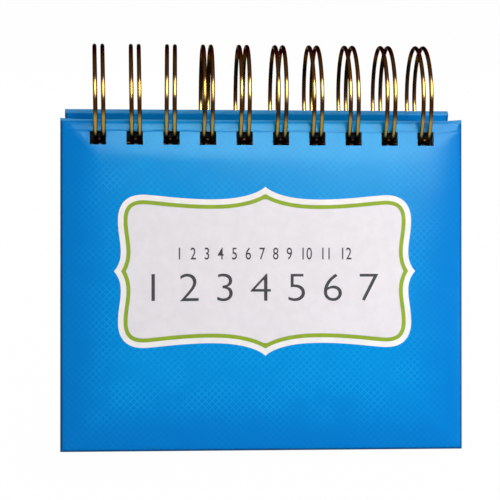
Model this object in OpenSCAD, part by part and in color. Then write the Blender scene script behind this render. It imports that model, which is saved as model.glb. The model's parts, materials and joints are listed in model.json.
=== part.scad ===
// Perpetual flip calendar: a padded hard cover and twelve month packs of leaves on a twin-loop wire,
// standing on an easel of three boards. Millimetres, +Z up, the front of the calendar faces -Y.

/* [Front cover] */
// Width of the front cover
cover_w = 152.4; // [150:0.2:160]
// Height of the front cover along its own face
cover_h = 125; // [115:1:135]
// Thickness of the cover's greyboard
cover_board_t = 1.8; // [1.5:0.1:2.1]
// How far the padding stands proud of the cover's edges
pad_crown = 1.4; // [0.8:0.1:1.8]
// Width of the padding's sloped margin
pad_margin = 16; // [12:0.5:20]

/* [Wire] */
// Number of twin loops
loops = 10; // [6:1:10]
// Distance from one twin loop to the next
pitch = 13.8; // [12.7:0.1:14.2]
// Radius of the ring, to the middle of the wire
ring_r = 19.8; // [18.8:0.1:22]
// Diameter of the wire
wire_d = 1.6; // [1.2:0.1:1.8]
// Distance between the two strands of a twin loop
strand_pitch = 3; // [2.8:0.1:3.4]

/* [Leaves] */
// How far the leaves stand back from each side of the stand
leaf_inset = 2.4; // [1:0.1:5]
// How much shorter the leaves are than the cover
leaf_short = 8; // [7:0.5:25]
// Thickness of one month's leaves
pack_t = 0.8; // [0.6:0.05:0.9]

/* [Stand] */
// Lean of the front boards from upright, in degrees
front_lean = 13; // [10:0.5:16]
// Lean of the rear leg from upright, in degrees
rear_lean = 17; // [14:0.5:20]
// Width of the stand's boards
stand_w = 150.8; // [148:0.2:156]
// Thickness of the stand's greyboards
leg_board_t = 2; // [1.6:0.1:2.4]
// How far the joint cloth goes up the legs
cloth_up = 12; // [8:0.5:16]
// How far the joint cloth stands back from each side of the stand
cloth_inset = 2; // [1:0.1:4]

/* [Punching] */
// Width of the punched holes
hole_w = 6.2; // [5.8:0.1:6.8]
// Height of the holes in leaves and boards
hole_h = 4.6; // [4.2:0.1:5.2]
// From the middle of a hole up to the edge of a leaf or board
punch_margin = 7; // [6:0.1:8]
// From the middle of the rear leg's holes up to its edge
rear_margin = 8.7; // [7:0.1:10]

/* [Hidden] */
$fn = 180;
// paper thicknesses
skin = 0.3;
turn_in = 13;
foam_edge = 0.1;
label_t = 0.12;
cloth_t = 0.25;
cloth_gap = 0.05;
cloth_lift = 0.1;
leaf_w = stand_w - 2 * leaf_inset;
leaf_h = cover_h - leaf_short;
// depths from the ring's axis, square to the front boards
leg_t = leg_board_t + 2 * skin;
support_y0 = 3;
support_y1 = support_y0 + leg_t;
pack_pitch = pack_t + 0.03;
leaves_back = support_y0 - 0.45;
leaves_front = leaves_back - 12 * pack_pitch;
cover_back = leaves_front - wire_d - 0.5;
cover_edge = cover_back - cover_board_t - 2 * skin - foam_edge;
cover_face = cover_edge - pad_crown;
pad_rise = pad_crown * (1 - pow((pad_margin - punch_margin) / pad_margin, 2));
pad_rho = (pad_margin * pad_margin + pad_crown * pad_crown) / (2 * pad_crown);
cover_at_holes = cover_edge - pad_rise;
cover_mid = (cover_at_holes + cover_back) / 2;
rear_y0 = support_y1 + 1.3;
rear_y1 = rear_y0 + leg_t;
// heights along the boards, from the ring's axis
function ring_z(y) = -sqrt(ring_r * ring_r - y * y);
function wire_half(y) = wire_d / 2 * sqrt(1 + pow(y / ring_z(y), 2));
cover_zc = ring_z(cover_mid);
cover_hole_up = ring_z(cover_at_holes) + wire_half(cover_at_holes) - cover_zc;
cover_hole_down = cover_zc - ring_z(cover_back) + wire_half(cover_back);
cover_hole_h = max(hole_h, 2 * (max(cover_hole_up, cover_hole_down) + 0.25));
cover_top = cover_zc + punch_margin;
cover_bot = cover_top - cover_h;
support_zc = ring_z((support_y0 + support_y1) / 2);
support_top = support_zc + punch_margin;
rear_zc = ring_z((rear_y0 + rear_y1) / 2);
rear_top = rear_zc + rear_margin;
// the ring's axis above the table
base_t = leg_board_t + skin;
foot_z = base_t + 0.4;
axis_z = 3 + cover_back * sin(front_lean) - cover_bot * cos(front_lean);
support_bot = (foot_z - axis_z + support_y1 * sin(front_lean)) / cos(front_lean);
rear_bot = (foot_z - axis_z - rear_y0 * sin(rear_lean)) / cos(rear_lean);
// depths of the feet from the ring's axis, and the shift that puts the middle of the depth at the origin
cover_foot_y = cover_edge * cos(front_lean) + cover_bot * sin(front_lean);
base_y0 = support_y0 * cos(front_lean) + support_bot * sin(front_lean);
base_y1 = rear_y1 * cos(rear_lean) - rear_bot * sin(rear_lean);
axis_y = -(cover_foot_y + base_y1 + cloth_t) / 2;
// the wire's spine lies between the cover and the first leaves
spine_local = asin(-(cover_back + wire_d / 2 + 0.25) / ring_r);
spine_angle = spine_local + front_lean;
tip_gap = wire_d + 0.9;
tip_r = strand_pitch / 2;
bend_r = 1.4;
wire_steps = 30;
wire_sides = 6;
arc_end = 2 * PI * ring_r - tip_gap;
blue = [0.05, 0.45, 0.75];
grey = [0.62, 0.58, 0.52];
paper = [0.95, 0.94, 0.9];

function loop_x(k) = (k - (loops - 1) / 2) * pitch;

// places what is drawn upright on the ring's axis
module front_frame() {
    translate([0, axis_y, axis_z])
        rotate([-front_lean, 0, 0])
            children();
}

module rear_frame() {
    translate([0, axis_y, axis_z])
        rotate([rear_lean, 0, 0])
            children();
}

module slab(w, y0, y1, z0, z1) {
    translate([-w / 2, y0, z0])
        cube([w, y1 - y0, z1 - z0]);
}

module punch(y0, y1, zc, h) {
    for (k = [0 : loops - 1])
        translate([loop_x(k) - hole_w / 2, y0 - 5, zc - h / 2])
            cube([hole_w, y1 - y0 + 10, h]);
}

// section of the padded cover: flat in the middle, rounded down to the edges, inset by o
module pad_section(len, o) {
    translate([-(len / 2 - pad_margin), cover_face + o])
        square([len - 2 * pad_margin, cover_back - cover_face - 2 * o]);
    for (s = [-1, 1])
        intersection() {
            translate([s * (len / 2 - pad_margin), cover_face + pad_rho])
                circle(pad_rho - o);
            translate([s > 0 ? len / 2 - pad_margin : o - len / 2, cover_face])
                square([pad_margin - o, cover_back - o - cover_face]);
        }
}

module cushion(o) {
    intersection() {
        translate([0, 0, cover_bot])
            linear_extrude(cover_h)
                pad_section(cover_w, o);
        translate([cover_w / 2, 0, (cover_top + cover_bot) / 2])
            rotate([0, -90, 0])
                linear_extrude(cover_w)
                    pad_section(cover_h, o);
    }
}

module cover_window(o, y0, y1) {
    slab(
        cover_w - 2 * turn_in - o, y0, y1,
        cover_bot + turn_in + o / 2, cover_top - turn_in - o / 2
    );
}

// the printed sheet that is drawn over the pad and turned in round the board
module cover_wrap() {
    color(blue)
        front_frame()
            difference() {
                cushion(0);
                cushion(skin);
                cover_window(0, cover_back - skin - 0.1, cover_back + 1);
                punch(cover_face, cover_back, cover_zc, cover_hole_h);
            }
}

module cover_pad() {
    color([0.9, 0.88, 0.8])
        front_frame()
            difference() {
                cushion(skin + 0.02);
                slab(
                    cover_w, cover_back - skin - cover_board_t, cover_back + 1,
                    cover_bot - 1, cover_top + 1
                );
                punch(cover_face, cover_back, cover_zc, cover_hole_h);
            }
}

module cover_greyboard() {
    color(grey)
        front_frame()
            difference() {
                slab(
                    cover_w - 2 * skin, cover_back - skin - cover_board_t, cover_back - skin,
                    cover_bot + skin, cover_top - skin
                );
                punch(cover_face, cover_back, cover_zc, cover_hole_h);
            }
}

module cover_endpaper() {
    color(paper)
        front_frame()
            cover_window(0.1, cover_back - skin, cover_back);
}

// a quarter of the label's bracket outline, as a chain of cubic curves
label_quarter = [
    [[0, 31.9], [2.2, 29.7], [8.5, 27.2], [19, 27.1]],
    [[19, 27.1], [31, 26.9], [42, 28.8], [46.1, 28.8]],
    [[46.1, 28.8], [52.7, 28.8], [55.5, 24.8], [55.5, 19.2]],
    [[55.5, 19.2], [55.5, 11.5], [52.2, 5.5], [57, 0]]
];
label_tip = label_quarter[3][3];
label_at = [0.9, 5.3];
function curve(c, t) =
    pow(1 - t, 3) * c[0] + 3 * t * pow(1 - t, 2) * c[1] + 3 * t * t * (1 - t) * c[2] + pow(t, 3) * c[3];
label_arc = [for (c = label_quarter) for (i = [0 : 11]) curve(c, i / 12)];
label_n = len(label_arc);
label_outline = concat(
    label_arc,
    [for (i = [0 : label_n - 1]) let (p = i == 0 ? label_tip : label_arc[label_n - i]) [p[0], -p[1]]],
    [for (p = label_arc) [-p[0], -p[1]]],
    [for (i = [0 : label_n - 1]) let (p = i == 0 ? label_tip : label_arc[label_n - i]) [-p[0], p[1]]]
);

module cover_label() {
    color(paper)
        front_frame()
            translate([label_at[0], cover_face, (cover_top + cover_bot) / 2 + label_at[1]])
                rotate([90, 0, 0])
                    linear_extrude(label_t)
                        polygon(label_outline);
}

// one month's leaves, punched so that the holes follow the ring
module leaves(i) {
    y0 = leaves_front + i * pack_pitch;
    zc = ring_z(y0 + pack_t / 2);
    color(paper)
        front_frame()
            difference() {
                slab(leaf_w, y0, y0 + pack_t, zc + punch_margin - leaf_h, zc + punch_margin);
                punch(y0, y0 + pack_t, zc, hole_h);
            }
}

module january_leaves() {
    leaves(0);
}

module february_leaves() {
    leaves(1);
}

module march_leaves() {
    leaves(2);
}

module april_leaves() {
    leaves(3);
}

module may_leaves() {
    leaves(4);
}

module june_leaves() {
    leaves(5);
}

module july_leaves() {
    leaves(6);
}

module august_leaves() {
    leaves(7);
}

module september_leaves() {
    leaves(8);
}

module october_leaves() {
    leaves(9);
}

module november_leaves() {
    leaves(10);
}

module december_leaves() {
    leaves(11);
}

// the wire's path unrolled: x along the spine, s along the ring from the spine to the tip of a loop
function strand(x, from, to) = [for (i = [0 : wire_steps]) [x, from + (to - from) * i / wire_steps]];
function bow(x, s, r, a0, a1, n) = [
    for (i = [1 : n - 1])
        let (a = a0 + (a1 - a0) * i / n)
        [x + r * cos(a), s + r * sin(a)]
];
function loop_path(k) = concat(
    k > 0 ? bow(loop_x(k) - tip_r - bend_r, bend_r, bend_r, -90, 0, 3) : [],
    strand(loop_x(k) - tip_r, k > 0 ? bend_r : 0, arc_end - tip_r),
    bow(loop_x(k), arc_end - tip_r, tip_r, 180, 0, 6),
    strand(loop_x(k) + tip_r, arc_end - tip_r, k < loops - 1 ? bend_r : 0),
    k < loops - 1 ? bow(loop_x(k) + tip_r + bend_r, bend_r, bend_r, 180, 270, 3) : [],
    k < loops - 1 ? [[loop_x(k) + tip_r + bend_r, 0], [loop_x(k + 1) - tip_r - bend_r, 0]] : []
);
wire_flat = [for (k = [0 : loops - 1]) each loop_path(k)];
wire_n = len(wire_flat);
function ring_angle(s) = spine_angle - s / ring_r * 180 / PI;
function on_ring(p, r) = [p[0], -r * sin(ring_angle(p[1])), -r * cos(ring_angle(p[1]))];
wire_path = [for (p = wire_flat) on_ring(p, ring_r)];
function unit(v) = v / norm(v);
wire_points = [
    for (i = [0 : wire_n - 1])
        let (
            t = unit(wire_path[min(i + 1, wire_n - 1)] - wire_path[max(i - 1, 0)]),
            n = unit(on_ring([0, wire_flat[i][1]], 1)),
            b = cross(t, n)
        )
        for (j = [0 : wire_sides - 1])
            let (a = 360 * j / wire_sides)
            wire_path[i] + wire_d / 2 * (cos(a) * n + sin(a) * b)
];
wire_faces = concat(
    [for (i = [0 : wire_n - 2]) for (j = [0 : wire_sides - 1])
        let (p = i * wire_sides + j, q = i * wire_sides + (j + 1) % wire_sides)
        each [[p, p + wire_sides, q], [q, p + wire_sides, q + wire_sides]]],
    [[for (j = [0 : wire_sides - 1]) j]],
    [[for (j = [wire_sides - 1 : -1 : 0]) (wire_n - 1) * wire_sides + j]]
);
// least gap between two turns, on the points of the first two loops that lie over 6 mm apart along the wire
function wire_step(i) = norm(wire_path[min(i + 1, wire_n - 1)] - wire_path[i]);
wire_run = [for (i = 0, s = 0; i < min(wire_n, 150); s = s + wire_step(i), i = i + 1) s];
wire_gap = min([
    for (i = [0 : len(wire_run) - 1]) for (j = [i + 1 : len(wire_run) - 1])
        if (wire_run[j] - wire_run[i] > 6) norm(wire_path[i] - wire_path[j]) - wire_d
]);
echo(str("least gap of the wire to itself: ", wire_gap, " mm"));

module twin_loop_wire() {
    color([0.72, 0.55, 0.2])
        translate([0, axis_y, axis_z])
            polyhedron(wire_points, wire_faces, convexity = 10);
}

// what a leg's wrap goes round
module leg_core(y0, y1, z0, z1) {
    slab(stand_w - 2 * skin, y0 + skin, y1 - skin, z0 + skin, z1 - skin);
}

// the front leg of the easel, which the leaves lean on
module support_greyboard() {
    color(grey)
        front_frame()
            difference() {
                leg_core(support_y0, support_y1, support_bot, support_top);
                punch(support_y0, support_y1, support_zc, hole_h);
            }
}

module support_wrap() {
    color(blue)
        front_frame()
            difference() {
                slab(stand_w, support_y0, support_y1, support_bot, support_top);
                leg_core(support_y0, support_y1, support_bot, support_top);
                slab(
                    stand_w - 2 * turn_in, support_y1 - skin - 0.1, support_y1 + 1,
                    support_bot + turn_in, support_top - turn_in
                );
                punch(support_y0, support_y1, support_zc, hole_h);
            }
}

module support_lining() {
    color(paper)
        front_frame()
            slab(
                stand_w - 2 * turn_in - 0.1, support_y1 - skin, support_y1,
                support_bot + turn_in + 0.05, support_top - turn_in - 0.05
            );
}

// the rear leg, which hangs on the back of the rings
module rear_greyboard() {
    color(grey)
        rear_frame()
            difference() {
                leg_core(rear_y0, rear_y1, rear_bot, rear_top);
                punch(rear_y0, rear_y1, rear_zc, hole_h);
            }
}

module rear_wrap() {
    color(blue)
        rear_frame()
            difference() {
                slab(stand_w, rear_y0, rear_y1, rear_bot, rear_top);
                leg_core(rear_y0, rear_y1, rear_bot, rear_top);
                slab(
                    stand_w - 2 * turn_in, rear_y0 - 1, rear_y0 + skin + 0.1,
                    rear_bot + turn_in, rear_top - turn_in
                );
                punch(rear_y0, rear_y1, rear_zc, hole_h);
            }
}

module rear_lining() {
    color(paper)
        rear_frame()
            slab(
                stand_w - 2 * turn_in - 0.1, rear_y0, rear_y0 + skin,
                rear_bot + turn_in + 0.05, rear_top - turn_in - 0.05
            );
}

// the base lies on the table between the legs, creased across its middle
module base_greyboard() {
    mid = axis_y + (base_y0 + base_y1) / 2;
    color(grey)
        difference() {
            translate([0, axis_y, 0])
                slab(stand_w - 2 * skin, base_y0 + 0.3, base_y1 - 0.3, skin, base_t);
            translate([0, mid, base_t])
                rotate([45, 0, 0])
                    cube([stand_w + 2, 1.6, 1.6], center = true);
        }
}

module base_wrap() {
    color(blue)
        translate([0, axis_y, 0])
            slab(stand_w, base_y0 + 0.3, base_y1 - 0.3, 0, skin);
}

// cloth strips that tie the base to the feet of the legs
module joint_strip(foot, up, side) {
    rotate([90, 0, 90])
        linear_extrude(stand_w - 2 * cloth_inset, center = true)
            polygon([
                up, foot, [foot[0], cloth_lift], [foot[0] - side * cloth_t, cloth_lift],
                [foot[0] - side * cloth_t, foot[1]], [up[0] - side * cloth_t, up[1]]
            ]);
}

module front_joint_cloth() {
    color(blue)
        joint_strip(
            [
                axis_y + base_y0 - cloth_gap,
                axis_z + support_bot * cos(front_lean) - support_y0 * sin(front_lean)
            ],
            [
                axis_y + base_y0 - cloth_gap + cloth_up * sin(front_lean),
                axis_z + (support_bot + cloth_up) * cos(front_lean) - support_y0 * sin(front_lean)
            ],
            1
        );
}

module rear_joint_cloth() {
    color(blue)
        joint_strip(
            [
                axis_y + base_y1 + cloth_gap,
                axis_z + rear_bot * cos(rear_lean) + rear_y1 * sin(rear_lean)
            ],
            [
                axis_y + base_y1 + cloth_gap - cloth_up * sin(rear_lean),
                axis_z + (rear_bot + cloth_up) * cos(rear_lean) + rear_y1 * sin(rear_lean)
            ],
            -1
        );
}

cover_wrap();
cover_pad();
cover_greyboard();
cover_endpaper();
cover_label();
january_leaves();
february_leaves();
march_leaves();
april_leaves();
may_leaves();
june_leaves();
july_leaves();
august_leaves();
september_leaves();
october_leaves();
november_leaves();
december_leaves();
twin_loop_wire();
support_greyboard();
support_wrap();
support_lining();
base_greyboard();
base_wrap();
front_joint_cloth();
rear_joint_cloth();
rear_greyboard();
rear_wrap();
rear_lining();
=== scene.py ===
"""Dresses a desk flip calendar: padded cover, bracket label, gold twin-loop wire, month leaves and easel."""

import json
import math

import bmesh
import bpy
from bpy.props import FloatProperty, FloatVectorProperty, IntProperty, PointerProperty, StringProperty
from bpy.types import Operator, Panel, PropertyGroup
from mathutils import Matrix, Quaternion, Vector


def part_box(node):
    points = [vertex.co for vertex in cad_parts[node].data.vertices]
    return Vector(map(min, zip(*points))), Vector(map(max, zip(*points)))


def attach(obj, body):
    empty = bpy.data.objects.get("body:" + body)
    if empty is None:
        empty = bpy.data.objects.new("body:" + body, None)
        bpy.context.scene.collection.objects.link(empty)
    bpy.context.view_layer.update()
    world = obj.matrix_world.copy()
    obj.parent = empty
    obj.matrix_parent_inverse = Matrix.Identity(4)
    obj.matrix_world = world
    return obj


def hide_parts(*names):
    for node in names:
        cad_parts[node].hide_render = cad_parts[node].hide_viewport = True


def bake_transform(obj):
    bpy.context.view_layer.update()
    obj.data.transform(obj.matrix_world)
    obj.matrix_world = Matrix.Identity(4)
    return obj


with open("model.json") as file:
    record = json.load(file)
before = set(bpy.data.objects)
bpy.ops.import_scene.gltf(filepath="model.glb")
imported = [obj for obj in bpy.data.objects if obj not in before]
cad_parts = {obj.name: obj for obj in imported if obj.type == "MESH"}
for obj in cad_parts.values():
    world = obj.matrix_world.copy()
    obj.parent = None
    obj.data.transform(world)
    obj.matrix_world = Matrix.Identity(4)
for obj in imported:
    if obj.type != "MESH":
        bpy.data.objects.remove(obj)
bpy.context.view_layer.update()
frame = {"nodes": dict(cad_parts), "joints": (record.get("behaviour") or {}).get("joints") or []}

bl_info = {
    "name": "Flip calendar dressing",
    "version": (1, 0, 0),
    "blender": (4, 5, 0),
    "location": "View3D > Sidebar > Calendar",
    "description": "Dresses the packed flip calendar with its print, wire, leaves and studio",
    "category": "Object",
}

MONTHS = (
    "january", "february", "march", "april", "may", "june",
    "july", "august", "september", "october", "november", "december",
)
LOOPS = 10
# lengths in metres
PITCH = 0.0138
HOLE_W = 0.0062
HOLE_H = 0.0052
SKIN = 0.0003
TURN_IN = 0.013
PRINT_LIFT = 0.00003
FRONT_LEAN = math.radians(13)
REAR_LEAN = math.radians(17)
RING_AXIS = Vector(next(j["pos_m"] for j in frame["joints"] if j["name"] == "cover_turn"))
COVER_HOLE = Vector(next(j["pos_m"] for j in frame["joints"] if j["name"] == "cover_swing"))
FRONT = Matrix.Translation(RING_AXIS) @ Matrix.Rotation(-FRONT_LEAN, 4, "X")
REAR = Matrix.Translation(RING_AXIS) @ Matrix.Rotation(REAR_LEAN, 4, "X")


def box_along(board, points):
    """Lowest and highest corner of points along the axes of a board."""
    back = board.inverted()
    points = [back @ p for p in points]
    return [Vector([end(p[i] for p in points) for i in range(3)]) for end in (min, max)]


def board_box(node, board):
    """Lowest and highest corner of a CAD node along the axes of the board it belongs to."""
    return box_along(board, [v.co for v in frame["nodes"][node].data.vertices])


def loop_x(k):
    """Middle of a twin loop along the wire's spine."""
    return (k - (LOOPS - 1) / 2) * PITCH


def srgb(r, g, b):
    """Linear colour of an 8-bit screen colour."""
    shares = (r / 255, g / 255, b / 255)
    return tuple(c / 12.92 if c <= 0.04045 else ((c + 0.055) / 1.055) ** 2.4 for c in shares)


class CoverSettings(PropertyGroup):
    edge_round: FloatProperty(
        name="Edge rounding", description="Radius of the cover's turned edges",
        default=0.0006, min=0.0002, max=0.0009, unit="LENGTH",
    )
    crown: FloatProperty(
        name="Crown", description="How far the padding stands proud of the edges",
        default=0.0014, min=0.0008, max=0.0018, unit="LENGTH",
    )
    margin: FloatProperty(
        name="Sloped margin", description="Width of the padding's sloped margin",
        default=0.016, min=0.012, max=0.02, unit="LENGTH",
    )
    ear: FloatProperty(
        name="Corner ears", description="How far the folded corners rise over the top edge",
        default=0.0005, min=0.0, max=0.001, unit="LENGTH",
    )
    blue: FloatVectorProperty(
        name="Print blue", description="Blue of the print in the middle of the boards",
        default=srgb(2, 133, 206), size=3, min=0.0, max=1.0, subtype="COLOR",
    )
    deep_blue: FloatVectorProperty(
        name="Deep blue", description="Blue of the print towards the edges of the boards",
        default=srgb(1, 115, 194), size=3, min=0.0, max=1.0, subtype="COLOR",
    )
    line_blue: FloatVectorProperty(
        name="Lattice blue", description="Colour of the fine lattice lines",
        default=srgb(22, 164, 230), size=3, min=0.0, max=1.0, subtype="COLOR",
    )
    lattice: FloatProperty(
        name="Lattice", description="Distance between the lattice's crossings",
        default=0.00256, min=0.001, max=0.006, unit="LENGTH",
    )


class LabelSettings(PropertyGroup):
    line_inset: FloatProperty(
        name="Line inset", description="From the label's edge to its green line",
        default=0.0021, min=0.001, max=0.006, unit="LENGTH",
    )
    line_width: FloatProperty(
        name="Line width", description="Width of the green line",
        default=0.0015, min=0.0005, max=0.003, unit="LENGTH",
    )
    green: FloatVectorProperty(
        name="Line green", description="Colour of the border line",
        default=srgb(124, 150, 4), size=3, min=0.0, max=1.0, subtype="COLOR",
    )
    ink: FloatVectorProperty(
        name="Ink", description="Colour of the numbers",
        default=srgb(34, 34, 38), size=3, min=0.0, max=1.0, subtype="COLOR",
    )
    small_row: StringProperty(
        name="Small row", description="Plain numbers of the upper row", default="1 2 3 4 5 6 7 8 9 10 11 12",
    )
    large_row: StringProperty(
        name="Large row", description="Plain numbers of the lower row", default="1 2 3 4 5 6 7",
    )


class WireSettings(PropertyGroup):
    diameter: FloatProperty(
        name="Wire", description="Diameter of the wire", default=0.0016, min=0.001, max=0.002, unit="LENGTH",
    )
    strand_pitch: FloatProperty(
        name="Strand pitch", description="Between the two strands of a loop",
        default=0.003, min=0.0028, max=0.0034, unit="LENGTH",
    )
    steps: IntProperty(name="Steps", description="Steps along a strand", default=64, min=24, max=120)
    gold: FloatVectorProperty(
        name="Gold", description="Colour of the bright plating",
        default=srgb(206, 174, 88), size=3, min=0.0, max=1.0, subtype="COLOR",
    )
    # Painted dark reflection: the wire's colour away from its painted highlights.
    dark_reflection: FloatVectorProperty(
        name="Patina", description="Colour of the dark antique finish",
        default=srgb(64, 37, 15), size=3, min=0.0, max=1.0, subtype="COLOR",
    )


class LeafSettings(PropertyGroup):
    paper: FloatVectorProperty(
        name="Leaf paper", description="Colour of the leaves",
        default=srgb(240, 238, 230), size=3, min=0.0, max=1.0, subtype="COLOR",
    )
    number_height: FloatProperty(
        name="Number height", description="Height of the large number on a month's first leaf",
        default=0.034, min=0.01, max=0.06, unit="LENGTH",
    )


class StageSettings(PropertyGroup):
    ambient: FloatProperty(
        name="Ambient", description="Strength of the room's light", default=0.3, min=0.0, max=2.0,
    )
    key: FloatProperty(
        name="Key lamp", description="Power of the soft lamp", default=4.5, min=0.0, unit="POWER",
    )
    sheen: FloatProperty(
        name="Sheen lamp", description="Power of the oval lamp that shows only as gloss",
        default=43.5, min=0.0, unit="POWER",
    )
    fill: FloatProperty(
        name="Fill lamp", description="Power of the fill lamp", default=0.8, min=0.0, unit="POWER",
    )
    eye: FloatVectorProperty(
        name="Camera place", description="Where the camera stands",
        default=(-0.04863, -0.6365, 0.21459), size=3, subtype="TRANSLATION", unit="LENGTH",
    )
    aim: FloatVectorProperty(
        name="Camera aim", description="Point that the camera looks at",
        default=(-0.002768, 0.0, 0.070975), size=3, subtype="TRANSLATION", unit="LENGTH",
    )
    roll: FloatProperty(
        name="Roll", description="Turn of the camera about its view", default=0.0157, subtype="ANGLE",
    )
    lens: FloatProperty(
        name="Lens", description="Focal length in millimetres", default=118.96, min=20.0, max=300.0,
    )


# meshes

def deselect():
    """Leaves edit mode and selects nothing."""
    if bpy.context.object and bpy.context.object.mode != "OBJECT":
        bpy.ops.object.mode_set(mode="OBJECT")
    bpy.ops.object.select_all(action="DESELECT")


def only(obj):
    """Selects one object alone and makes it active."""
    deselect()
    obj.select_set(True)
    bpy.context.view_layer.objects.active = obj


def join(obj, other):
    """Joins a second object to the first."""
    only(obj)
    other.select_set(True)
    bpy.ops.object.join()


def edit(obj):
    """Opens one object in edit mode and gives its mesh."""
    only(obj)
    bpy.ops.object.mode_set(mode="EDIT")
    return bmesh.from_edit_mesh(obj.data)


def pick(bm, kind, test):
    """Selects the edges or faces that pass a test, and nothing else."""
    bpy.ops.mesh.select_all(action="DESELECT")
    bpy.context.tool_settings.mesh_select_mode = (False, kind == "EDGE", kind == "FACE")
    for item in bm.edges if kind == "EDGE" else bm.faces:
        if test(item):
            item.select_set(True)
    bm.select_flush_mode()


def close_edit(obj):
    """Leaves edit mode."""
    bmesh.update_edit_mesh(obj.data)
    bpy.ops.object.mode_set(mode="OBJECT")


def apply_modifiers(obj):
    """Applies all modifiers of one object in their order."""
    only(obj)
    for name in [m.name for m in obj.modifiers]:
        bpy.ops.object.modifier_apply(modifier=name)


def settle(obj, name, board=None):
    """Names a finished piece and moves its place into its mesh."""
    if board is not None:
        obj.data.transform(board)
    only(obj)
    bpy.ops.object.transform_apply(location=True, rotation=True, scale=True)
    obj.name = name
    obj.data.name = name
    return obj


def dress(obj, *materials):
    """Gives a piece its materials in slot order."""
    if obj.data.materials:  # clearing also resets the faces' slots
        obj.data.materials.clear()
    for m in materials:
        obj.data.materials.append(m)


def grid_lines(stops, step):
    """Grid lines through all stops, at most a step apart."""
    out = []
    stops = sorted(set(round(s, 7) for s in stops))
    for a, b in zip(stops, stops[1:]):
        n = max(1, math.ceil((b - a) / step - 1e-6))
        out += [a + (b - a) * i / n for i in range(n)]
    return out + [stops[-1]]


def board_grid(us, vs, depth):
    """A grid over the given lines in a board's axes, with its depth from a function."""
    deselect()
    bpy.ops.mesh.primitive_grid_add(x_subdivisions=len(us) - 1, y_subdivisions=len(vs) - 1, size=2.0)
    obj = bpy.context.object
    for v in obj.data.vertices:
        i = round((v.co.x + 1) / 2 * (len(us) - 1))
        j = round((v.co.y + 1) / 2 * (len(vs) - 1))
        v.co = (us[i], depth(us[i], vs[j]), vs[j])
    return obj


def weld(obj, distance):
    """Closes the seams of a mesh and turns its faces outwards."""
    edit(obj)
    bpy.ops.mesh.select_all(action="SELECT")
    bpy.ops.mesh.remove_doubles(threshold=distance)
    bpy.ops.mesh.normals_make_consistent(inside=False)
    close_edit(obj)


def plain_text(body, height, width, board, place, name, weight=0.0, spacing=1.0):
    """Flat numbers of a given height and weight, fitted to a width, on the face of a leaning board."""
    drawn, film = 0.004, 0.00001
    deselect()
    bpy.ops.object.text_add()
    obj = bpy.context.object
    obj.data.body = body
    obj.data.align_x = "CENTER"
    obj.data.align_y = "CENTER"
    obj.data.resolution_u = 6
    obj.data.offset = weight
    obj.data.space_word = spacing
    obj.data.extrude = drawn
    bpy.ops.object.convert(target="MESH")
    obj = bpy.context.object
    weld(obj, 0.00001)
    xs = [v.co.x for v in obj.data.vertices]
    ys = [v.co.y for v in obj.data.vertices]
    tall = height / (max(ys) - min(ys))
    wide = width / (max(xs) - min(xs)) if width else tall
    mid = Vector(((max(xs) + min(xs)) / 2, (max(ys) + min(ys)) / 2, 0))
    shape = Matrix.Diagonal((wide, tall, film / drawn, 1)) @ Matrix.Translation(-mid)
    obj.data.transform(Matrix.Translation(place) @ Matrix.Rotation(math.radians(90), 4, "X") @ shape)
    return settle(obj, name, board)


# finishes

def group(name, inputs, outputs):
    """A new shader node group with its sockets, and its input and output nodes."""
    tree = bpy.data.node_groups.new(name, "ShaderNodeTree")
    for socket, kind, default in inputs:
        s = tree.interface.new_socket(name=socket, in_out="INPUT", socket_type=kind)
        if default is not None:
            s.default_value = default
    for socket, kind in outputs:
        tree.interface.new_socket(name=socket, in_out="OUTPUT", socket_type=kind)
    return tree, tree.nodes.new("NodeGroupInput"), tree.nodes.new("NodeGroupOutput")


def math_node(tree, operation, a, b=None):
    """A math node; numbers are set on it and sockets are linked to it."""
    n = tree.nodes.new("ShaderNodeMath")
    n.operation = operation
    for i, value in enumerate((a, b)):
        if value is None:
            continue
        if isinstance(value, (int, float)):
            n.inputs[i].default_value = value
        else:
            tree.links.new(value, n.inputs[i])
    return n.outputs[0]


def away_node(tree, value, middle):
    """How far a value lies from a middle, on either side."""
    return math_node(tree, "ABSOLUTE", math_node(tree, "SUBTRACT", value, middle))


def ramp_node(tree, value, low, high, to_low=0.0, to_high=1.0):
    """A smooth step of a value from low to high."""
    n = tree.nodes.new("ShaderNodeMapRange")
    n.interpolation_type = "SMOOTHSTEP"
    n.inputs["From Min"].default_value = low
    n.inputs["From Max"].default_value = high
    n.inputs["To Min"].default_value = to_low
    n.inputs["To Max"].default_value = to_high
    tree.links.new(value, n.inputs["Value"])
    return n.outputs["Result"]


def mix_node(tree, factor, a, b):
    """A colour mix; colours are set on it and sockets are linked to it."""
    n = tree.nodes.new("ShaderNodeMix")
    n.data_type = "RGBA"
    for socket, value in ((n.inputs[0], factor), (n.inputs[6], a), (n.inputs[7], b)):
        if isinstance(value, bpy.types.NodeSocket):
            tree.links.new(value, socket)
        elif isinstance(value, (int, float)):
            socket.default_value = value
        else:
            socket.default_value = (*value, 1.0)
    return n.outputs[2]


def split_node(tree, vector):
    """The three values of a vector."""
    n = tree.nodes.new("ShaderNodeSeparateXYZ")
    tree.links.new(vector, n.inputs[0])
    return n.outputs


def noise_node(tree, vector, scale, detail=4.0, roughness=0.5):
    """A noise value over a vector."""
    n = tree.nodes.new("ShaderNodeTexNoise")
    n.inputs["Scale"].default_value = scale
    n.inputs["Detail"].default_value = detail
    n.inputs["Roughness"].default_value = roughness
    tree.links.new(vector, n.inputs["Vector"])
    return n.outputs["Fac"]


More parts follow.
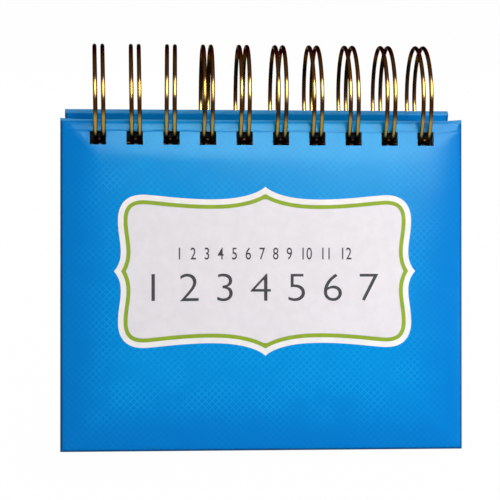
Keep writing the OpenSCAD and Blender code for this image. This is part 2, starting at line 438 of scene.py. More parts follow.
def build_groups():
    """The effects that several finishes share."""
    tree, gin, gout = group(
        "Lattice print",
        [
            ("Vector", "NodeSocketVector", None),
            ("Pitch", "NodeSocketFloat", 0.00256),
            ("Line", "NodeSocketFloat", 0.13),
        ],
        [("Lines", "NodeSocketFloat")],
    )
    x, _, z = split_node(tree, gin.outputs["Vector"])
    masks = []
    for sign in ("ADD", "SUBTRACT"):
        across = math_node(tree, sign, x, z)
        turns = math_node(tree, "DIVIDE", across, gin.outputs["Pitch"])
        off = away_node(tree, math_node(tree, "FRACT", turns), 0.5)
        near = math_node(tree, "DIVIDE", off, gin.outputs["Line"])
        masks.append(ramp_node(tree, near, 0.35, 1.0, 1.0, 0.0))
    tree.links.new(math_node(tree, "MAXIMUM", *masks), gout.inputs["Lines"])

    tree, gin, gout = group(
        "Paper fibre",
        [("Vector", "NodeSocketVector", None)],
        [("Mottle", "NodeSocketFloat"), ("Height", "NodeSocketFloat")],
    )
    cloud = noise_node(tree, gin.outputs["Vector"], 260.0, 5.0, 0.6)
    fine = noise_node(tree, gin.outputs["Vector"], 2600.0, 3.0, 0.6)
    tree.links.new(ramp_node(tree, cloud, 0.3, 0.7), gout.inputs["Mottle"])
    height = math_node(tree, "ADD", math_node(tree, "MULTIPLY", cloud, 0.4), fine)
    tree.links.new(height, gout.inputs["Height"])

    tree, gin, gout = group(
        "Handling marks",
        [("Vector", "NodeSocketVector", None)],
        [("Smears", "NodeSocketFloat"), ("Grain", "NodeSocketFloat")],
    )
    smears = noise_node(tree, gin.outputs["Vector"], 38.0, 5.0, 0.62)
    grain = noise_node(tree, gin.outputs["Vector"], 1400.0, 2.0, 0.5)
    tree.links.new(ramp_node(tree, smears, 0.35, 0.68), gout.inputs["Smears"])
    tree.links.new(grain, gout.inputs["Grain"])


def material(name):
    """A fresh material: its tree, its shader and its object coordinates and normal."""
    m = bpy.data.materials.new(name)
    m.use_nodes = True
    tree = m.node_tree
    tree.nodes.clear()
    out = tree.nodes.new("ShaderNodeOutputMaterial")
    shader = tree.nodes.new("ShaderNodeBsdfPrincipled")
    tree.links.new(shader.outputs[0], out.inputs["Surface"])
    where = tree.nodes.new("ShaderNodeTexCoord").outputs
    return m, tree, shader, where["Object"], where["Normal"]


def board_axes(tree, where, board):
    """Object coordinates in the axes of a board."""
    n = tree.nodes.new("ShaderNodeMapping")
    n.vector_type = "TEXTURE"
    n.inputs["Location"].default_value = board.to_translation()
    n.inputs["Rotation"].default_value = board.to_euler()
    tree.links.new(where, n.inputs["Vector"])
    return n.outputs["Vector"]


def use_group(tree, name, vector, **values):
    """Places a shared effect in a material."""
    n = tree.nodes.new("ShaderNodeGroup")
    n.node_tree = bpy.data.node_groups[name]
    tree.links.new(vector, n.inputs["Vector"])
    for key, value in values.items():
        n.inputs[key].default_value = value
    return n.outputs


def surface(tree, shader, tone, rough, specular):
    """Links a finish's colour and roughness to its shader, and sets its gloss."""
    tree.links.new(tone, shader.inputs["Base Color"])
    tree.links.new(rough, shader.inputs["Roughness"])
    shader.inputs["Specular IOR Level"].default_value = specular


def bump(tree, shader, height, strength, distance):
    """A bump on the shader's normal."""
    n = tree.nodes.new("ShaderNodeBump")
    n.inputs["Strength"].default_value = strength
    n.inputs["Distance"].default_value = distance
    tree.links.new(height, n.inputs["Height"])
    tree.links.new(n.outputs["Normal"], shader.inputs["Normal"])


def blue_laminate(name, board, low, high, punch_z=None, head_shade=0.5, painted_highlight=0.0):
    """Laminated blue print with a fine lattice that fades towards the board's edges.

    punch_z is the height of the crease along the punched holes, which is darkened with painted shade; the
    next two arguments set how strong the painted shade and the painted highlight along the board's head are.
    """
    # colours of the painted shade along the edges and of the painted highlight along the head
    edge_shade_blue, highlight_blue = srgb(2, 46, 92), srgb(96, 184, 240)
    s = bpy.context.scene.calendar_cover
    m, tree, shader, where, _ = material(name)
    axes = board_axes(tree, where, board)
    x, _, z = split_node(tree, axes)
    side = math_node(tree, "SUBTRACT", (high.x - low.x) / 2, math_node(tree, "ABSOLUTE", x))
    foot = math_node(tree, "SUBTRACT", z, low.z)
    head = math_node(tree, "SUBTRACT", high.z, z)
    rim = math_node(tree, "MINIMUM", side, foot)
    edge = math_node(tree, "MINIMUM", rim, head)
    inner = ramp_node(tree, rim, 0.003, 0.034)
    marks = use_group(tree, "Handling marks", axes)
    tone = mix_node(tree, inner, s.deep_blue, s.blue)
    cloud = math_node(tree, "MULTIPLY", marks["Smears"], 0.03)
    tone = mix_node(tree, cloud, tone, s.line_blue)
    lattice = use_group(tree, "Lattice print", axes, Pitch=s.lattice)
    fade = ramp_node(tree, edge, 0.004, 0.022, 0.06, 0.3)
    patches = ramp_node(tree, noise_node(tree, axes, 90.0, 3.0), 0.36, 0.64, 0.45, 1.6)
    fade = math_node(tree, "MULTIPLY", fade, patches)
    tone = mix_node(tree, math_node(tree, "MULTIPLY", lattice["Lines"], fade), tone, s.line_blue)
    # Painted shade: the board's rounded edges and its head are darkened towards a deep blue.
    edge_shade = ramp_node(tree, rim, 0.0002, 0.0012, 0.85, 0.0)
    edge_shade = math_node(tree, "MAXIMUM", edge_shade, ramp_node(tree, head, 0.0001, 0.0011, head_shade, 0.0))
    tone = mix_node(tree, edge_shade, tone, edge_shade_blue)
    # Painted highlight: a light blue along the board's head, where its top face catches the light.
    tone = mix_node(tree, ramp_node(tree, head, 0.0002, 0.0009, painted_highlight, 0.0), tone, highlight_blue)
    height = math_node(tree, "MULTIPLY", marks["Grain"], 0.06)
    height = math_node(tree, "ADD", height, math_node(tree, "MULTIPLY", lattice["Lines"], 0.1))
    if punch_z is not None:
        wave = math_node(tree, "SUBTRACT", noise_node(tree, axes, 120.0, 2.0), 0.5)
        wave = math_node(tree, "MULTIPLY", wave, 0.0014)
        off = away_node(tree, math_node(tree, "ADD", z, wave), punch_z)
        crease = ramp_node(tree, off, 0.0, 0.0006, 1.0, 0.0)
        # Painted shade: the crease above the holes is darkened; its dent is the bump below.
        tone = mix_node(tree, math_node(tree, "MULTIPLY", crease, 0.55), tone, s.deep_blue)
        height = math_node(tree, "SUBTRACT", height, crease)
    rough = ramp_node(tree, marks["Smears"], 0.0, 1.0, 0.13, 0.17)
    rough = math_node(tree, "MAXIMUM", rough, ramp_node(tree, edge, 0.0001, 0.0011, 0.95, 0.0))
    surface(tree, shader, tone, rough, 0.07)
    shader.inputs["Specular Tint"].default_value = (0.5, 0.95, 0.8, 1.0)
    bump(tree, shader, height, 0.5, 0.00012)
    return m


def fibre_paper(name, colour, shade, roughness=0.85, layers=None, shade_band=0.0):
    """Uncoated paper or board.

    layers gives the board axes whose depth shows page lines on the cut edges, and the last argument the
    height above which the front face is darkened with painted shade, behind the cover's holes.
    """
    painted_shade_blue = srgb(10, 22, 40)
    m, tree, shader, where, normal = material(name)
    fibre = use_group(tree, "Paper fibre", where)
    tone = mix_node(tree, fibre["Mottle"], shade, colour)
    if layers is not None:
        _, y, z = split_node(tree, board_axes(tree, where, layers))
        depth = tree.nodes.new("ShaderNodeTexNoise")
        depth.noise_dimensions = "1D"
        depth.inputs["Scale"].default_value = 2600.0
        depth.inputs["Detail"].default_value = 4.0
        tree.links.new(y, depth.inputs["W"])
        facing = tree.nodes.new("ShaderNodeVectorMath")
        facing.operation = "DOT_PRODUCT"
        facing.inputs[1].default_value = layers.to_3x3() @ Vector((0, -1, 0))
        tree.links.new(normal, facing.inputs[0])
        # Painted shade: the leaf's front face is dark navy above this height, so the cover's holes look
        # dark.
        head = ramp_node(tree, z, shade_band - 0.0002, shade_band)
        head = math_node(tree, "MULTIPLY", head, ramp_node(tree, facing.outputs["Value"], 0.5, 0.9))
        tone = mix_node(tree, head, tone, painted_shade_blue)
        flat = math_node(tree, "ABSOLUTE", facing.outputs["Value"])
        cut = ramp_node(tree, flat, 0.3, 0.7, 1.0, 0.0)
        line = math_node(tree, "MULTIPLY", ramp_node(tree, depth.outputs["Fac"], 0.42, 0.6, 1.0, 0.0), cut)
        tone = mix_node(tree, math_node(tree, "MULTIPLY", line, 0.5), tone, tuple(c * 0.55 for c in shade))
    rough = ramp_node(tree, fibre["Mottle"], 0.0, 1.0, roughness, roughness - 0.1)
    surface(tree, shader, tone, rough, 0.25)
    bump(tree, shader, fibre["Height"], 0.25, 0.00004)
    return m


def book_cloth(name):
    """Blue woven cloth of the joint strips."""
    s = bpy.context.scene.calendar_cover
    m, tree, shader, where, _ = material(name)
    waves = []
    for direction in ("X", "Z"):
        w = tree.nodes.new("ShaderNodeTexWave")
        w.bands_direction = direction
        w.inputs["Scale"].default_value = 600.0
        w.inputs["Distortion"].default_value = 0.6
        tree.links.new(where, w.inputs["Vector"])
        waves.append(w.outputs["Fac"])
    weave = math_node(tree, "MAXIMUM", *waves)
    stretch = tree.nodes.new("ShaderNodeMapping")
    stretch.inputs["Scale"].default_value = (0.05, 1.0, 1.0)
    tree.links.new(where, stretch.inputs["Vector"])
    slub = ramp_node(tree, noise_node(tree, stretch.outputs["Vector"], 900.0, 3.0), 0.35, 0.65, 0.72, 1.0)
    weave = math_node(tree, "MULTIPLY", weave, slub)
    tone = mix_node(tree, weave, tuple(c * 0.4 for c in s.deep_blue), s.deep_blue)
    surface(tree, shader, tone, ramp_node(tree, weave, 0.0, 1.0, 0.95, 0.8), 0.2)
    shader.inputs["Sheen Weight"].default_value = 0.1
    shader.inputs["Sheen Tint"].default_value = (*s.line_blue, 1.0)
    bump(tree, shader, weave, 0.5, 0.0001)
    return m


# painted glints: where the ring shows gold highlights, middle and half width in degrees from its lowest
# point, and amount
PAINTED_GLINT_ZONES = ((108, 14, 0.34), (66, 18, 0.55), (-68, 16, 0.36), (-10, 34, 0.3), (-152, 26, 0.1))
# painted shade on the wire inside the cover's holes: middle, and where the shade is full and ends
HOLE_SHADE_ANGLES = (39, 4, 17)


def antique_gold(name):
    """Gold wire with a painted dark reflection over most of it and painted gold highlights at set angles
    round the rings.
    """
    s = bpy.context.scene.calendar_wire
    m, tree, shader, where, _ = material(name)
    _, y, z = split_node(tree, where)
    forward = math_node(tree, "SUBTRACT", RING_AXIS.y, y)
    below = math_node(tree, "SUBTRACT", RING_AXIS.z, z)
    turn = math_node(tree, "ARCTAN2", forward, below)
    marks = use_group(tree, "Handling marks", where)
    wander = math_node(tree, "MULTIPLY", math_node(tree, "SUBTRACT", marks["Smears"], 0.5), 0.12)
    turn = math_node(tree, "ADD", turn, wander)
    zones = []
    for middle, half, amount in PAINTED_GLINT_ZONES:
        off = away_node(tree, turn, math.radians(middle))
        zones.append(ramp_node(tree, off, math.radians(half * 0.35), math.radians(half), amount, 0.0))
    painted_highlight = zones[0]
    for zone in zones[1:]:
        painted_highlight = math_node(tree, "MAXIMUM", painted_highlight, zone)
    # Painted reflection: dark over most of the ring and gold in the zones of painted highlights.
    tone = mix_node(tree, painted_highlight, s.dark_reflection, s.gold)
    # Painted shade on the wire where it passes through the cover's holes.
    middle, full, end = (math.radians(a) for a in HOLE_SHADE_ANGLES)
    hole_shade = ramp_node(tree, away_node(tree, turn, middle), full, end, 0.9, 0.0)
    tone = mix_node(tree, hole_shade, tone, srgb(24, 14, 7))
    surface(tree, shader, tone, ramp_node(tree, marks["Smears"], 0.0, 1.0, 0.18, 0.28), 0.5)
    shader.inputs["Metallic"].default_value = 1.0
    shader.inputs["Specular Tint"].default_value = (*srgb(120, 88, 44), 1.0)
    bump(tree, shader, marks["Grain"], 0.06, 0.00003)
    return m


def printed_ink(name, colour, light):
    """Printed ink on paper, a little uneven."""
    m, tree, shader, where, _ = material(name)
    fibre = use_group(tree, "Paper fibre", where)
    tone = mix_node(tree, fibre["Mottle"], colour, light)
    surface(tree, shader, tone, ramp_node(tree, fibre["Mottle"], 0.0, 1.0, 0.5, 0.65), 0.12)
    bump(tree, shader, fibre["Height"], 0.1, 0.00002)
    return m


# pieces

class CALENDAR_OT_cover(Operator):
    """Padded front cover: a wrap drawn over the foam and turned in round the board"""

    bl_idname = "calendar.cover"
    bl_label = "Front cover"

    def execute(self, context):
        s = context.scene.calendar_cover
        low, high = board_box("cover_wrap", FRONT)
        r = s.edge_round
        brim = low.y + s.crown
        hole_mid = (FRONT.inverted() @ COVER_HOLE).z
        step, ear_w, ear_h = 0.0017, 0.009, 0.004
        rho = (s.margin ** 2 + s.crown ** 2) / (2 * s.crown)
        mid_z = (low.z + high.z) / 2
        half_w, half_h = high.x, (high.z - low.z) / 2

        def fall(inside):
            """How far the padding falls off at a distance inside the edge."""
            d = max(0.0, s.margin - inside)
            return rho - math.sqrt(rho * rho - d * d)

        def face(u, v):
            return low.y + max(fall(half_w - abs(u)), fall(half_h - abs(v - mid_z)))

        us, vs = [-half_w + r, half_w - r], [low.z + r, high.z - r]
        us += [-half_w + s.margin, half_w - s.margin, -half_w + TURN_IN, half_w - TURN_IN]
        vs += [low.z + s.margin, high.z - s.margin, low.z + TURN_IN, high.z - TURN_IN]
        for k in range(LOOPS):
            us += [loop_x(k) - HOLE_W / 2, loop_x(k) + HOLE_W / 2]
        vs += [hole_mid - HOLE_H / 2, hole_mid + HOLE_H / 2]
        us, vs = grid_lines(us, step), grid_lines(vs, step)

        def in_hole(c):
            across = min(abs(c.x - loop_x(k)) for k in range(LOOPS))
            return abs(c.z - hole_mid) < HOLE_H / 2 and across < HOLE_W / 2

        front = board_grid(us, vs, face)
        bm = edit(front)
        pick(bm, "EDGE", lambda e: e.is_boundary)
        bends = [math.radians(a) for a in (30, 60, 90)]
        path = [(r * math.sin(a), r * (1 - math.cos(a))) for a in bends]
        path += [(r, high.y - brim - r)]
        path += [(r * math.cos(a), high.y - brim - r + r * math.sin(a)) for a in bends]
        reached = 0.0
        for out, deep in path:
            bpy.ops.mesh.extrude_edges_move()
            bm = bmesh.from_edit_mesh(front.data)
            for v in bm.verts:
                if not v.select:
                    continue
                if abs(v.co.x) > us[-1] - 1e-6:
                    v.co.x = math.copysign(us[-1] + out, v.co.x)
                if v.co.z > vs[-1] - 1e-6:
                    v.co.z = vs[-1] + out
                elif v.co.z < vs[0] + 1e-6:
                    v.co.z = vs[0] - out
                v.co.y += deep - reached if reached else brim + deep - v.co.y
            reached = deep
        close_edit(front)
        back = board_grid(us, vs, lambda u, v: high.y)
        bm = edit(back)
        pick(bm, "FACE", lambda f: True)
        bpy.ops.mesh.flip_normals()
        close_edit(back)
        join(front, back)
        edit(front)
        bpy.ops.mesh.select_all(action="SELECT")
        bpy.ops.mesh.remove_doubles(threshold=0.00002)
        bm = bmesh.from_edit_mesh(front.data)

        def gone(f):
            c = f.calc_center_median()
            inside = abs(c.x) < half_w - TURN_IN and low.z + TURN_IN < c.z < high.z - TURN_IN
            return in_hole(c) or (inside and c.y > high.y - 0.0001)

        pick(bm, "FACE", gone)
        bpy.ops.mesh.delete(type="FACE")
        close_edit(front)
        for v in front.data.vertices:
            near = max(0.0, 1 - (half_w - abs(v.co.x)) / ear_w)
            rise = max(0.0, 1 - (high.z - v.co.z) / ear_h)
            v.co.z += s.ear * near ** 1.6 * rise
        wall = front.modifiers.new("Wrap", "SOLIDIFY")
        wall.thickness = SKIN
        wall.offset = -1.0
        apply_modifiers(front)
        bpy.ops.object.shade_smooth_by_angle(angle=math.radians(35))
        settle(front, "padded_cover_wrap", FRONT)
        crease = hole_mid + HOLE_H / 2 + 0.0002
        # the cover's head gets painted shade and a painted highlight
        dress(front, blue_laminate("Cover laminate", FRONT, low, high, crease, head_shade=0.3, painted_highlight=0.5))
        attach(front, "front_cover")
        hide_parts("cover_wrap")
        # Painted shade: the foam is charcoal so that the walls of the cover's holes look dark.
        foam = fibre_paper("Foam", srgb(58, 58, 62), srgb(40, 40, 44), 0.95)
        endpaper = fibre_paper("Endpaper", srgb(236, 236, 240), srgb(222, 222, 228))
        dress(frame["nodes"]["cover_pad"], foam)
        dress(frame["nodes"]["cover_endpaper"], endpaper)
        return {"FINISHED"}


# a quarter of the label's outline in millimetres: the four points of each of its curves
LABEL_QUARTER = (
    ((0, 31.9), (2.2, 29.7), (8.5, 27.2), (19, 27.1)),
    ((19, 27.1), (31, 26.9), (42, 28.8), (46.1, 28.8)),
    ((46.1, 28.8), (52.7, 28.8), (55.5, 24.8), (55.5, 19.2)),
    ((55.5, 19.2), (55.5, 11.5), (52.2, 5.5), (57, 0)),
)


def bracket_outline(steps):
    """The label's outline in metres, anticlockwise, from its four curves to a quarter."""
    arc = []
    for curve in LABEL_QUARTER:
        for i in range(steps):
            t = i / steps
            weights = ((1 - t) ** 3, 3 * t * (1 - t) ** 2, 3 * t * t * (1 - t), t ** 3)
            arc.append(Vector([sum(w * p[k] for w, p in zip(weights, curve)) / 1000 for k in (0, 1)]))
    arc.append(Vector(LABEL_QUARTER[-1][-1]) / 1000)
    top = arc[::-1]
    left = [Vector((-p.x, p.y)) for p in arc[1:]]
    bottom_left = [Vector((-p.x, -p.y)) for p in reversed(arc[:-1])]
    bottom_right = [Vector((p.x, -p.y)) for p in arc[1:-1]]
    return top + left + bottom_left + bottom_right


def inset_outline(outline, depth):
    """The outline drawn inwards by a depth, without the points that would cross at its tips."""
    sides = list(zip(outline, outline[1:] + outline[:1]))

    def clear(q):
        """Whether a point keeps the depth from every side of the outline."""
        for a, b in sides:
            t = max(0.0, min(1.0, (q - a).dot(b - a) / (b - a).length_squared))
            if (q - a.lerp(b, t)).length < depth - 0.00001:
                return False
        return True

    moved = []
    for i, p in enumerate(outline):
        before = (p - outline[i - 1]).normalized()
        after = (outline[(i + 1) % len(outline)] - p).normalized()
        inward = Vector((-before.y - after.y, before.x + after.x)).normalized()
        moved.append(p + inward * depth / inward.dot(Vector((-before.y, before.x))))
    return [q for q in moved if clear(q)]


def flat_print(loops, finish):
    """A thin flat print between closed loops of points, made as a filled curve."""
    deselect()
    bpy.ops.curve.primitive_bezier_circle_add()
    obj = bpy.context.object
    obj.data.dimensions = "2D"
    obj.data.fill_mode = "BOTH"
    obj.data.extrude = 0.00001
    obj.data.splines.clear()
    for loop in loops:
        spline = obj.data.splines.new("POLY")
        spline.points.add(len(loop) - 1)
        for point, p in zip(spline.points, loop):
            point.co = (p.x, p.y, 0.0, 1.0)
        spline.use_cyclic_u = True
    bpy.ops.object.convert(target="MESH")
    obj = bpy.context.object
    weld(obj, 0.000001)
    dress(obj, finish)
    return obj


class CALENDAR_OT_label(Operator):
    """Bracket label with a green border line and rows of plain numbers"""

    bl_idname = "calendar.label"
    bl_label = "Label"

    def execute(self, context):
        s = context.scene.calendar_label
        low, high = board_box("cover_label", FRONT)
        middle = Vector(((low.x + high.x) / 2, low.y, (low.z + high.z) / 2))
        paper = fibre_paper("Label paper", srgb(226, 223, 221), srgb(220, 217, 215), 0.7)
        dress(frame["nodes"]["cover_label"], paper)
        outline = bracket_outline(12)
        outer = inset_outline(outline, s.line_inset)
        inner = inset_outline(outline, s.line_inset + s.line_width)
        green = printed_ink("Green line", s.green, srgb(132, 158, 10))
        field = fibre_paper("Label field", srgb(215, 210, 214), srgb(210, 205, 209), 0.7)
        ring = flat_print((outer, inner), green)
        middle_print = flat_print((inner,), field)
        join(ring, middle_print)
        upright = Matrix.Rotation(math.radians(90), 4, "X")
        ring.data.transform(Matrix.Translation(middle - Vector((0, PRINT_LIFT, 0))) @ upright)
        settle(ring, "label_print", FRONT)
        ink = printed_ink("Number ink", s.ink, srgb(58, 58, 62))
        # text, height, width, rise, name, weight, spacing
        rows = (
            (s.small_row, 0.0046, 0.0654, 0.00665, "label_small_numbers", 0.006, 2.2),
            (s.large_row, 0.0104, 0.0859, -0.0061, "label_large_numbers", -0.012, 1.0),
        )
        for body, tall, wide, up, name, weight, spacing in rows:
            place = middle + Vector((0, -2 * PRINT_LIFT, up))
            text = plain_text(body, tall, wide, FRONT, place, name, weight, spacing)
            dress(text, ink)
            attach(text, "front_cover")
        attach(ring, "front_cover")
        return {"FINISHED"}


# loops bent out of true: twist and lean as slopes, and how far the top is moved along the spine
OUT_OF_TRUE = {
    0: (-0.0216, 0.0105, 0.0),
    1: (0.0, 0.014, 0.0),
    2: (0.0216, 0.0, 0.0),
    6: (0.0, 0.0165, -0.00065),
    7: (0.0, 0.0178, -0.0007),
    8: (0.0, 0.014, -0.00055),
    9: (0.0, 0.0178, -0.0007),
}


class CALENDAR_OT_wire(Operator):
    """One gold wire bent into ten twin loops along its spine"""

    bl_idname = "calendar.wire"
    bl_label = "Twin-loop wire"

    def execute(self, context):
        s = context.scene.calendar_wire
        low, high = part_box("twin_loop_wire")
        ring = (high.z - low.z) / 2 - s.diameter / 2
        tip = s.strand_pitch / 2
        bend, clearance, end_gap = 0.0014, 0.00025, 0.0009
        cover_back = board_box("cover_wrap", FRONT)[1].y
        spine = math.asin(-(cover_back + s.diameter / 2 + clearance) / ring) + FRONT_LEAN
        end = 2 * math.pi * ring - (s.diameter + end_gap)

        def bow(x, at, radius, a0, a1, n):
            """Points inside an arc of the flat wire, between two angles in degrees."""
            angles = [math.radians(a0 + (a1 - a0) * i / n) for i in range(1, n)]
            return [(x + radius * math.cos(a), at + radius * math.sin(a)) for a in angles]

        path = []
        for k in range(LOOPS):
            x, flat = loop_x(k), []
            first, last = k == 0, k == LOOPS - 1
            if not first:
                flat += bow(x - tip - bend, bend, bend, -90, 0, 6)
            start = 0.0 if first else bend
            stop = 0.0 if last else bend
            flat += [(x - tip, start + (end - tip - start) * i / s.steps) for i in range(s.steps + 1)]
            flat += bow(x, end - tip, tip, 180, 0, 12)
            flat += [(x + tip, end - tip + (stop - end + tip) * i / s.steps) for i in range(s.steps + 1)]
            if not last:
                flat += bow(x + tip + bend, bend, bend, 180, 270, 6)
                flat += [(x + tip + bend, 0.0), (loop_x(k + 1) - tip - bend, 0.0)]
            twist, lean, top = OUT_OF_TRUE.get(k, (0.0, 0.0, 0.0))
            for x, along in flat:
                a = spine - along / ring
                y, z = -ring * math.sin(a), -ring * math.cos(a)
                path.append(RING_AXIS + Vector((x + top + twist * y + lean * (ring - z), y, z)))
        deselect()
        bpy.ops.curve.primitive_nurbs_path_add()
        wire = context.object
        curve = wire.data
        curve.splines.clear()
        spline = curve.splines.new("POLY")
        spline.points.add(len(path) - 1)
        for point, place in zip(spline.points, path):
            point.co = (*place, 1.0)
        curve.dimensions = "3D"
        curve.bevel_depth = s.diameter / 2
        curve.bevel_resolution = 4
        curve.use_fill_caps = True
        wire.matrix_world = Matrix.Identity(4)
        bpy.ops.object.convert(target="MESH")
        wire = context.object
        bpy.ops.object.shade_smooth_by_angle(angle=math.radians(50))
        settle(wire, "gold_twin_loop_wire")
        dress(wire, antique_gold("Antique gold"))
        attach(wire, "wire")
        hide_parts("twin_loop_wire")
        return {"FINISHED"}


class CALENDAR_OT_leaves(Operator):
    """Month packs of leaves with page lines on their edges and a plain number on the first leaf"""

    bl_idname = "calendar.leaves"
    bl_label = "Leaves"

    def execute(self, context):
        s = context.scene.calendar_leaves
        shade = tuple(c * 0.94 for c in s.paper)
        # the leaves' heads get painted shade behind the cover's holes
        paper = fibre_paper("Leaf paper", s.paper, shade, 0.85, layers=FRONT, shade_band=-0.0235)
        ink = printed_ink("Leaf ink", srgb(40, 92, 138), srgb(70, 120, 160))
        lift, drop = 0.000008, 0.004
        for i, month in enumerate(MONTHS):
            node = month + "_leaves"
            dress(frame["nodes"][node], paper)
            low, high = board_box(node, FRONT)
            place = Vector((0, low.y - lift, (low.z + high.z) / 2 - drop))
            number = plain_text(str(i + 1), s.number_height, None, FRONT, place, month + "_number")
            dress(number, ink)
            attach(number, month)
        return {"FINISHED"}


class CALENDAR_OT_stand(Operator):
    """Boards of the easel in their print, lining and joint cloth"""

    bl_idname = "calendar.stand"
    bl_label = "Easel"

    def execute(self, context):
        nodes = frame["nodes"]
        grey = fibre_paper("Greyboard", srgb(176, 169, 157), srgb(160, 153, 141), 0.95)
        lining = fibre_paper("Lining paper", srgb(232, 232, 234), srgb(216, 217, 222))
        cloth = book_cloth("Joint cloth")
        for leg, board in (("support", FRONT), ("rear", REAR)):
            low, high = board_box(leg + "_wrap", board)
            name = leg.capitalize() + " laminate"
            # the legs' heads get a painted highlight
            dress(nodes[leg + "_wrap"], blue_laminate(name, board, low, high, head_shade=0.0, painted_highlight=0.5))
            dress(nodes[leg + "_lining"], lining)
            dress(nodes[leg + "_greyboard"], grey)
        dress(nodes["cover_greyboard"], grey)
        for side, body, held_by in (("front", "stand", "support_wrap"), ("rear", "rear_leg", "rear_wrap")):
            self.cloth_strip(side, body, held_by, cloth)
        return {"FINISHED"}

    @staticmethod
    def cloth_strip(side, body, held_by, cloth):
        """A strip of book cloth pasted along the foot of a leg and round the edge of the base."""
        thick, fray = 0.00022, 0.00006
        node = side + "_joint_cloth"
        points = [v.co for v in frame["nodes"][node].data.vertices]
        half = max(p.x for p in points)
        bends = sorted(set(round(p.z, 5) for p in points))
        middle = []
        for z in bends:
            ys = [p.y for p in points if abs(p.z - z) < 2e-5]
            middle.append((min(ys) + max(ys)) / 2)

        def face(u, v):
            """Depth of the strip's middle line at a height."""
            for i in range(len(bends) - 1):
                if v <= bends[i + 1] + 1e-7:
                    t = (v - bends[i]) / (bends[i + 1] - bends[i])
                    return middle[i] + (middle[i + 1] - middle[i]) * t
            return middle[-1]

        strip = board_grid(grid_lines((-half, half), 0.0015), grid_lines(bends, 0.0008), face)
        for v in strip.data.vertices:
            if v.co.z > bends[-1] - 1e-6:
                v.co.z -= fray * (1 + math.sin(v.co.x * 2100) * math.sin(v.co.x * 870))
        wall = strip.modifiers.new("Cloth", "SOLIDIFY")
        wall.thickness = thick
        wall.offset = 0.0
        apply_modifiers(strip)
        weld(strip, 0.000001)
        bpy.ops.object.shade_smooth_by_angle(angle=math.radians(40))
        settle(strip, side + "_cloth_strip")
        dress(strip, cloth)
        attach(strip, body)
        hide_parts(node)


class CALENDAR_OT_base(Operator):
    """Creased base that lies between the legs, cut into strips across its depth"""

    bl_idname = "calendar.base"
    bl_label = "Base"

    def execute(self, context):
        low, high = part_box("base_greyboard")
        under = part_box("base_wrap")
        mid = (low.y + high.y) / 2
        strips, crease, round_edge, held = 24, 0.0009, 0.0003, 0.004
        specs = (
            ("base_board", low, high, "base_greyboard", "greyboard", True),
            ("base_sheet", under[0], under[1], "base_wrap", "printed_wrap", False),
        )
        for name, a, b, node, slot, creased in specs:
            deselect()
            bpy.ops.mesh.primitive_cube_add(size=1.0, location=(a + b) / 2, scale=b - a)
            piece = context.object
            settle(piece, name)
            edit(piece)
            cuts = [a.y + (b.y - a.y) * i / strips for i in range(1, strips)] + [mid - crease, mid + crease]
            for y in cuts:
                bpy.ops.mesh.select_all(action="SELECT")
                bpy.ops.mesh.bisect(plane_co=(0, y, 0), plane_no=(0, 1, 0))
            bm = bmesh.from_edit_mesh(piece.data)
            if creased:
                for v in bm.verts:
                    if abs(v.co.y - mid) < 1e-5 and v.co.z > (a.z + b.z) / 2:
                        v.co.z -= crease
            close_edit(piece)
            soft = piece.modifiers.new("Edges", "BEVEL")
            soft.width = min(round_edge, (b.z - a.z) * 0.3)
            soft.segments = 2
            soft.limit_method = "ANGLE"
            soft.angle_limit = math.radians(60)
            apply_modifiers(piece)
            if creased:
                dress(piece, bpy.data.materials["Greyboard"])
            else:
                flat = Matrix.Translation((0, mid, 0)) @ Matrix.Rotation(math.radians(90), 4, "X")
                dress(piece, blue_laminate("Base laminate", flat, *box_along(flat, (a, b))))
            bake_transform(piece)
            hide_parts(node)
        return {"FINISHED"}


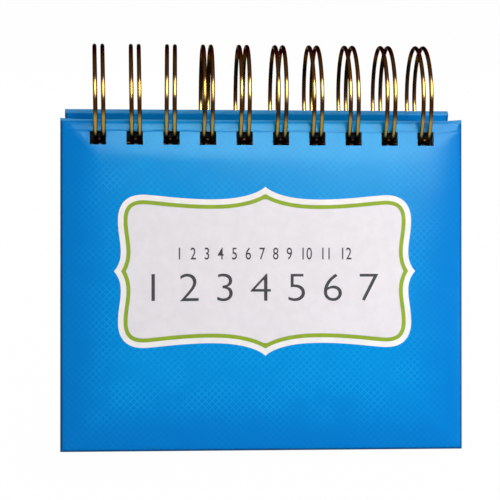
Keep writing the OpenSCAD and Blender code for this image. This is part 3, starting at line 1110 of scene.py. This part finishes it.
class CALENDAR_OT_stage(Operator):
    """White studio: pale floor, soft lamps and the camera"""

    bl_idname = "calendar.stage"
    bl_label = "Studio"

    def execute(self, context):
        s = context.scene.calendar_stage
        scene = context.scene
        scene.view_settings.view_transform = "Standard"
        deselect()
        bpy.ops.mesh.primitive_plane_add(size=8.0, location=(0, 0, -0.0002))
        floor = settle(context.object, "studio_floor")
        m = bpy.data.materials.new("Studio floor")
        m.use_nodes = True
        tree = m.node_tree
        tree.nodes.clear()
        out = tree.nodes.new("ShaderNodeOutputMaterial")
        matt = tree.nodes.new("ShaderNodeBsdfDiffuse")
        matt.inputs["Color"].default_value = (0.86, 0.86, 0.86, 1.0)
        glow = tree.nodes.new("ShaderNodeEmission")
        glow.inputs["Strength"].default_value = 1.0
        self.show_white(tree, out, matt, glow, 0.985)
        dress(floor, m)

        world = bpy.data.worlds.new("Studio")
        scene.world = world
        world.use_nodes = True
        tree = world.node_tree
        tree.nodes.clear()
        out = tree.nodes.new("ShaderNodeOutputWorld")
        room = tree.nodes.new("ShaderNodeBackground")
        room.inputs["Color"].default_value = (1, 1, 1, 1)
        room.inputs["Strength"].default_value = s.ambient
        white = tree.nodes.new("ShaderNodeBackground")
        white.inputs["Color"].default_value = (1, 1, 1, 1)
        self.show_white(tree, out, room, white, 1.0)

        # name, place, aim, tilt in degrees, width and height, power and the rays that see it
        lamps = (
            ("key_lamp", (0.14, -0.9, 0.51), (0.0, -0.02, 0.12), 0.0, (0.37, 0.29), s.key, "DIFFUSE"),
            ("sheen_lamp", (0.325, -0.9, 0.684), (0.0, -0.02, 0.12), 9.0, (0.97, 0.64), s.sheen, "GLOSS"),
            ("fill_lamp", (0.36, -0.3, 0.1), (0.04, -0.02, 0.07), 0.0, (0.2, 0.2), s.fill, "DIFFUSE"),
            ("back_lamp", (0.2, 0.9, 0.8), (0.0, 0.0, 0.07), 0.0, (0.7, 0.7), s.fill * 9, "BOTH"),
        )
        for name, place, aim, tilt, size, power, use in lamps:
            deselect()
            bpy.ops.object.light_add(type="AREA", location=place)
            lamp = context.object
            lamp.name = name
            lamp.data.shape = "ELLIPSE"
            lamp.data.size, lamp.data.size_y = size
            lamp.data.energy = power
            lamp.visible_diffuse = use != "GLOSS"
            lamp.visible_glossy = use != "DIFFUSE"
            turn = (Vector(aim) - Vector(place)).to_track_quat("-Z", "Y")
            lamp.rotation_euler = (turn @ Quaternion((0, 0, 1), math.radians(tilt))).to_euler()

        eye, aim = Vector(s.eye), Vector(s.aim)
        ahead = (aim - eye).normalized()
        right = ahead.cross(Vector((0, 0, 1))).normalized()
        up = right.cross(ahead)
        turned = right * math.cos(s.roll) + up * math.sin(s.roll)
        up = up * math.cos(s.roll) - right * math.sin(s.roll)
        deselect()
        bpy.ops.object.camera_add()
        camera = context.object
        camera.name = "photo_camera"
        axes = Matrix((turned, up, -ahead)).transposed().to_4x4()
        camera.matrix_world = Matrix.Translation(eye) @ axes
        camera.data.lens = s.lens
        camera.data.sensor_width = 36.0
        camera.data.clip_start = 0.01
        camera.data.clip_end = 50.0
        scene.camera = camera
        return {"FINISHED"}

    @staticmethod
    def show_white(tree, out, lit, white, share):
        """Shows white to camera, glossy and transmission rays by a share, and the lit shader to the rest."""
        path = tree.nodes.new("ShaderNodeLightPath").outputs
        seen = math_node(tree, "MAXIMUM", path["Is Camera Ray"], path["Is Glossy Ray"])
        seen = math_node(tree, "MAXIMUM", seen, path["Is Transmission Ray"])
        mix = tree.nodes.new("ShaderNodeMixShader")
        tree.links.new(math_node(tree, "MULTIPLY", seen, share), mix.inputs[0])
        tree.links.new(lit.outputs[0], mix.inputs[1])
        tree.links.new(white.outputs[0], mix.inputs[2])
        tree.links.new(mix.outputs[0], out.inputs["Surface"])


class CALENDAR_PT_sidebar(Panel):
    """Lists the calendar's pieces and their settings"""

    bl_idname = "CALENDAR_PT_sidebar"
    bl_label = "Flip calendar"
    bl_space_type = "VIEW_3D"
    bl_region_type = "UI"
    bl_category = "Calendar"

    def draw(self, context):
        for operator in OPERATORS:
            self.layout.operator(operator.bl_idname)
        for name in SETTINGS:
            box = self.layout.box()
            group_settings = getattr(context.scene, name)
            for key in group_settings.__annotations__:
                box.prop(group_settings, key)


SETTINGS = {
    "calendar_cover": CoverSettings,
    "calendar_label": LabelSettings,
    "calendar_wire": WireSettings,
    "calendar_leaves": LeafSettings,
    "calendar_stage": StageSettings,
}
OPERATORS = (
    CALENDAR_OT_stage,
    CALENDAR_OT_stand,
    CALENDAR_OT_base,
    CALENDAR_OT_cover,
    CALENDAR_OT_label,
    CALENDAR_OT_wire,
    CALENDAR_OT_leaves,
)


def register():
    for name, cls in SETTINGS.items():
        bpy.utils.register_class(cls)
        setattr(bpy.types.Scene, name, PointerProperty(type=cls))
    for cls in OPERATORS:
        bpy.utils.register_class(cls)
    bpy.utils.register_class(CALENDAR_PT_sidebar)


def unregister():
    bpy.utils.unregister_class(CALENDAR_PT_sidebar)
    for cls in reversed(OPERATORS):
        bpy.utils.unregister_class(cls)
    for name, cls in SETTINGS.items():
        delattr(bpy.types.Scene, name)
        bpy.utils.unregister_class(cls)


def main():
    """Registers the add-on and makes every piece."""
    register()
    build_groups()
    for operator in OPERATORS:
        area, call = operator.bl_idname.split(".")
        getattr(getattr(bpy.ops, area), call)()
    deselect()


if __name__ == "__main__":
    main()
